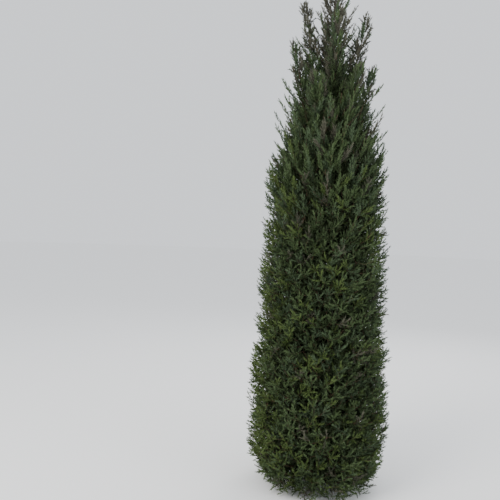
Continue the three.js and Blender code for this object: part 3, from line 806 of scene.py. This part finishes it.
def foliage_material(name, colour):
    """Scale foliage: a plain tint with the fine ripple of overlapping scale leaves, waxy in places."""
    material, tree, shader = principled(name, roughness=0.6, specular=0.25)
    shader.inputs["Base Color"].default_value = (*colour, 1)
    place = add_node(tree, "ShaderNodeTexCoord").outputs["Object"]
    scales = add_node(tree, "ShaderNodeTexVoronoi", place, Scale=420)
    add_bump(tree, shader, scales.outputs["Distance"], strength=0.35, distance=0.001)
    wax = add_node(tree, "ShaderNodeTexNoise", place, Scale=30)
    dulling = add_node(
        tree, "ShaderNodeMapRange", wax.outputs["Fac"], "Value", To_Min=0.42, To_Max=0.82)
    tree.links.new(dulling.outputs["Result"], shader.inputs["Roughness"])
    return material


def bark_material(name, dark, pale, scale):
    """Fibrous bark in long upright strips, paler where a strip has peeled."""
    material, tree, shader = principled(name, roughness=0.88, specular=0.2)
    place = add_node(tree, "ShaderNodeTexCoord").outputs["Object"]
    stretch = add_node(tree, "ShaderNodeMapping", place, Scale=(1, 1, 0.12))
    strips = add_node(
        tree, "ShaderNodeTexNoise", stretch.outputs["Vector"], Scale=scale, Detail=6, Roughness=0.65)
    ramp = add_node(tree, "ShaderNodeValToRGB", strips.outputs["Fac"], "Fac")
    for stop, position, colour in zip(ramp.color_ramp.elements, (0.34, 0.68), (dark, pale)):
        stop.position = position
        stop.color = (*colour, 1)
    tree.links.new(ramp.outputs["Color"], shader.inputs["Base Color"])
    add_bump(tree, shader, strips.outputs["Fac"], strength=0.6, distance=0.003)
    return material


def foliage_materials():
    """Two materials for each tint, in the order of tint and zone: the older, darker also as painted
    shade, then the young.
    """
    made = []
    for tint in TINTS:
        made.append(foliage_material(f"{tint}_older", OLDER_AND_SHADED_COLOURS[tint]))
        made.append(foliage_material(f"{tint}_young", YOUNG_COLOURS[tint]))
    return made


# Pieces.
def object_from(name, corners, faces, materials, indices=None):
    mesh = bpy.data.meshes.new(name)
    mesh.from_pydata(corners, [], faces)
    for material in materials:
        mesh.materials.append(material)
    if indices is not None:
        mesh.polygons.foreach_set("material_index", indices.astype(np.int32))
    mesh.update()
    piece = bpy.data.objects.new(name, mesh)
    bpy.context.scene.collection.objects.link(piece)
    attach(piece, "root")
    return piece


def joined(batches):
    """Several (corners, faces) as one."""
    corners = np.concatenate([batch[0] for batch in batches])
    starts = np.cumsum([0] + [len(batch[0]) for batch in batches[:-1]])
    faces = np.concatenate([batch[1] + start for batch, start in zip(batches, starts)])
    return corners, faces


def set_out_sprigs(gathered, variants, random, depth, notched=False):
    """Every gathered sprig that ends deep enough inside the crown's outline, dealt out over the
    sprig variants: vertices, triangles and materials."""
    place, direction, length, tint, young = [np.concatenate(column) for column in zip(*gathered)]
    end = place + direction * length[:, None]
    reach = np.linalg.norm(end[:, :2], axis=1)
    room = crown_radius(end[:, 2]) - depth - notched * notch(end[:, 2])
    kept = (end[:, 2] < TREE_HEIGHT + OVER_TOP) & (reach < room)
    kept &= np.hypot(*(end[:, :2] / WIDEST_REACH).T) < 1
    place, direction, length = place[kept], direction[kept], length[kept]
    tint, young = tint[kept], young[kept]
    rotation = turned(direction, 2 * math.pi * random.random(len(place)))
    variant = random.integers(len(variants), size=len(place))
    batches, indices = [], []
    for v, (corners, faces, zones) in enumerate(variants):
        mine = np.flatnonzero(variant == v)
        placed = np.einsum("nij,kj->nki", rotation[mine], corners)
        placed = placed * length[mine][:, None, None] + place[mine][:, None]
        clear = placed[..., 2].min(axis=1) > LOWEST_LEAF
        mine, placed = mine[clear], placed[clear]
        batches.append((placed.reshape(-1, 3), numbered(faces, len(mine), len(corners))))
        indices.append((2 * tint[mine][:, None] + zones[None] * young[mine][:, None]).reshape(-1))
    return (*joined(batches), np.concatenate(indices))


def furrows(bearing, height, depth, seed):
    """The relief of peeling bark: long strips that run up the wood and break off unevenly."""
    x = math.cos(bearing) * FURROWS["across"]
    y = math.sin(bearing) * FURROWS["across"]
    spot = Vector((x, y, height * FURROWS["along"] + seed))
    strips = noise.fractal(spot, FURROWS["roughness"], FURROWS["detail"], FURROWS["octaves"])
    phase = bearing * RIBS["count"] + RIBS["waver"] * strips + height * RIBS["twist"]
    ribs = abs(math.sin(phase))
    return depth * (FURROWS["strips"] * strips + RIBS["height"] * ribs - RIBS["level"])


def make_trunk(bark):
    """The trunk from its flared foot to where the leader's shoots take over, with its bark's relief."""
    corners, faces = unit_tube(*TRUNK_TUBE)
    for corner in corners:
        share = math.hypot(corner[0], corner[1])
        bearing = math.atan2(corner[1], corner[0])
        height = TRUNK["top"] * corner[2] ** TRUNK["crowding"]
        radius = trunk_radius(height, bearing)
        relief = furrows(bearing, height, TRUNK_RELIEF * radius, 0)
        radius += relief * min(1, height / CUT_HEIGHT)
        corner[:] = trunk_centre(height) + around(bearing, radius * share, 0)
    piece = object_from("trunk_bark", corners, faces, [bark])
    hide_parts("trunk")


def make_boughs(masses, bark):
    """The boughs, each a tapering limb from inside the trunk's bark to its mass's stem."""
    dense = [mass for mass in masses if mass["dense"]]
    tube = unit_tube(*BOUGH_TUBE)
    batches = []
    for number, mass in enumerate(dense):
        radius = min(BOUGH["radius"], BOUGH["trunk_share"] * trunk_radius(mass["start"], 0))
        tip_radius = BOUGH["tip_share"] * radius
        corners, faces = bent_tubes(tube, mass["bough_curve"][None], radius, tip_radius)
        centre, _ = along_curve(mass["bough_curve"], tube[0][:, 2])
        for i, (x, y, share) in enumerate(tube[0]):
            if math.hypot(x, y) > 0.5:
                bearing = math.atan2(y, x)
                swell = 1 + furrows(bearing, share * BOUGH_STRETCH, BOUGH_RELIEF, number)
                corners[i] = centre[i] + (corners[i] - centre[i]) * swell
        batches.append((corners, faces))
    piece = object_from("bough_bark", *joined(batches), [bark])
    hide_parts(*[mass["bough"] for mass in dense])


def make_stems(growth, masses):
    dense = np.array([mass["stem_curve"] for mass in masses if mass["dense"]])
    plumes = np.array([mass["stem_curve"] for mass in masses if not mass["dense"]])
    tube = unit_tube(*STEM_TUBE)
    growth.twig(dense, (STEM["radius"], STEM["tip_share"] * STEM["radius"]), tube)
    growth.twig(plumes, PLUME_STEM["radii"], tube)


def make_foliage(growth, masses, random):
    materials = foliage_materials()
    young = unit_sprigs(**YOUNG_SPRIGS)
    old = unit_sprigs(**OLD_SPRIGS)
    deep = unit_sprigs(**DEEP_SPRIGS)
    for part, gathered in growth.sprigs.items():
        notched = "plume" not in part
        batches = [
            set_out_sprigs(gathered, young, random, -OUTER_SLACK),
            set_out_sprigs(growth.old_sprigs[part], old, random, INNER_DEPTH, notched),
        ]
        if part in growth.deep_sprigs:
            deepest = growth.deep_sprigs[part]
            batches.append(set_out_sprigs(deepest, deep, random, DEEP_DEPTH, notched))
        corners, faces = joined([batch[:2] for batch in batches])
        indices = np.concatenate([batch[2] for batch in batches])
        piece = object_from(f"{part}_foliage", corners, faces, materials, indices)
        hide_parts(*[mass["name"] for mass in masses if mass["part"] == part])
        "bronzed_tips" if "plume" in part else "foliage"


# The studio.
CAMERA_HEIGHT = 1.55
CAMERA_DISTANCE = 3.7
FOCAL_PIXELS = 597
IMAGE_PIXELS = 500
SENSOR_WIDTH = 36
TREE_COLUMN = 324
HORIZON_ROW = 230
ROLL = math.radians(2.2)
FLOOR_RADIUS = 45
FLOOR_COLOUR = (0.96, 0.96, 0.955, 1)
WORLD_COLOUR = (0.86, 0.89, 0.93, 1)
WORLD_STRENGTH = 1.26
LAMPS = [
    dict(name="key", at=(-3.4, -4.2, 5.2), target=(0, 0, 1.3), size=3.2, power=300,
         colour=(1, 0.97, 0.92)),
    dict(name="fill", at=(4.4, -3.2, 2.6), target=(0, 0, 1.4), size=3.5, power=70,
         colour=(0.93, 0.96, 1)),
    dict(name="back", at=(1.5, 4.5, 4.5), target=(0, 0, 1.8), size=3.0, power=110,
         colour=(1, 1, 1)),
]


def add_lamp(name, at, target, size, power, colour):
    light = bpy.data.lights.new(name, "AREA")
    light.shape = "DISK"
    light.size = size
    light.energy = power
    light.color = colour
    lamp = bpy.data.objects.new(name, light)
    lamp.location = at
    lamp.rotation_mode = "QUATERNION"
    lamp.rotation_quaternion = (Vector(target) - Vector(at)).to_track_quat("-Z", "Y")
    bpy.context.scene.collection.objects.link(lamp)


def make_studio():
    """A plain pale floor, three soft lamps and pale light all round."""
    bm = bmesh.new()
    bmesh.ops.create_circle(bm, cap_ends=True, segments=96, radius=FLOOR_RADIUS)
    mesh = bpy.data.meshes.new("floor")
    bm.to_mesh(mesh)
    bm.free()
    material, _, shader = principled("floor", roughness=0.85, specular=0.2)
    shader.inputs["Base Color"].default_value = FLOOR_COLOUR
    mesh.materials.append(material)
    floor = bpy.data.objects.new("floor", mesh)
    bpy.context.scene.collection.objects.link(floor)
    for lamp in LAMPS:
        add_lamp(**lamp)
    world = bpy.data.worlds.new("pale")
    world.use_nodes = True
    background = world.node_tree.nodes["Background"]
    background.inputs["Color"].default_value = WORLD_COLOUR
    background.inputs["Strength"].default_value = WORLD_STRENGTH
    bpy.context.scene.world = world


def make_camera():
    """The camera at eye height, turned so that the tree and the horizon fall where they should."""
    data = bpy.data.cameras.new("camera")
    data.sensor_width = SENSOR_WIDTH
    data.lens = SENSOR_WIDTH * FOCAL_PIXELS / IMAGE_PIXELS
    data.clip_end = 120
    camera = bpy.data.objects.new("camera", data)
    camera.location = (0, -CAMERA_DISTANCE, CAMERA_HEIGHT)
    yaw = math.atan2(TREE_COLUMN - IMAGE_PIXELS / 2, FOCAL_PIXELS)
    pitch = math.atan2(HORIZON_ROW - IMAGE_PIXELS / 2, FOCAL_PIXELS)
    turn = Matrix.Rotation(yaw, 3, "Z") @ Matrix.Rotation(math.pi / 2 + pitch, 3, "X")
    camera.rotation_euler = (turn @ Matrix.Rotation(ROLL, 3, "Z")).to_euler()
    bpy.context.scene.collection.objects.link(camera)
    bpy.context.scene.camera = camera


make_camera()
make_studio()
random = np.random.default_rng(GROWTH_SEED)
masses = find_masses()
growth = Growth()
grow_dense_crown(growth, masses, random)
grow_inside(growth, masses, random)
for mass in masses:
    if not mass["dense"]:
        grow_plume(growth, mass, random)
grow_crowded_feathers(growth, masses, random)
make_stems(growth, masses)
make_foliage(growth, masses, random)
bark = bark_material("bark", **BARK)
make_trunk(bark)
make_boughs(masses, bark)
twig_bark = bark_material("twig_bark", **TWIG_BARK)
twigs = object_from("twigs", *joined(growth.twigs), [twig_bark])
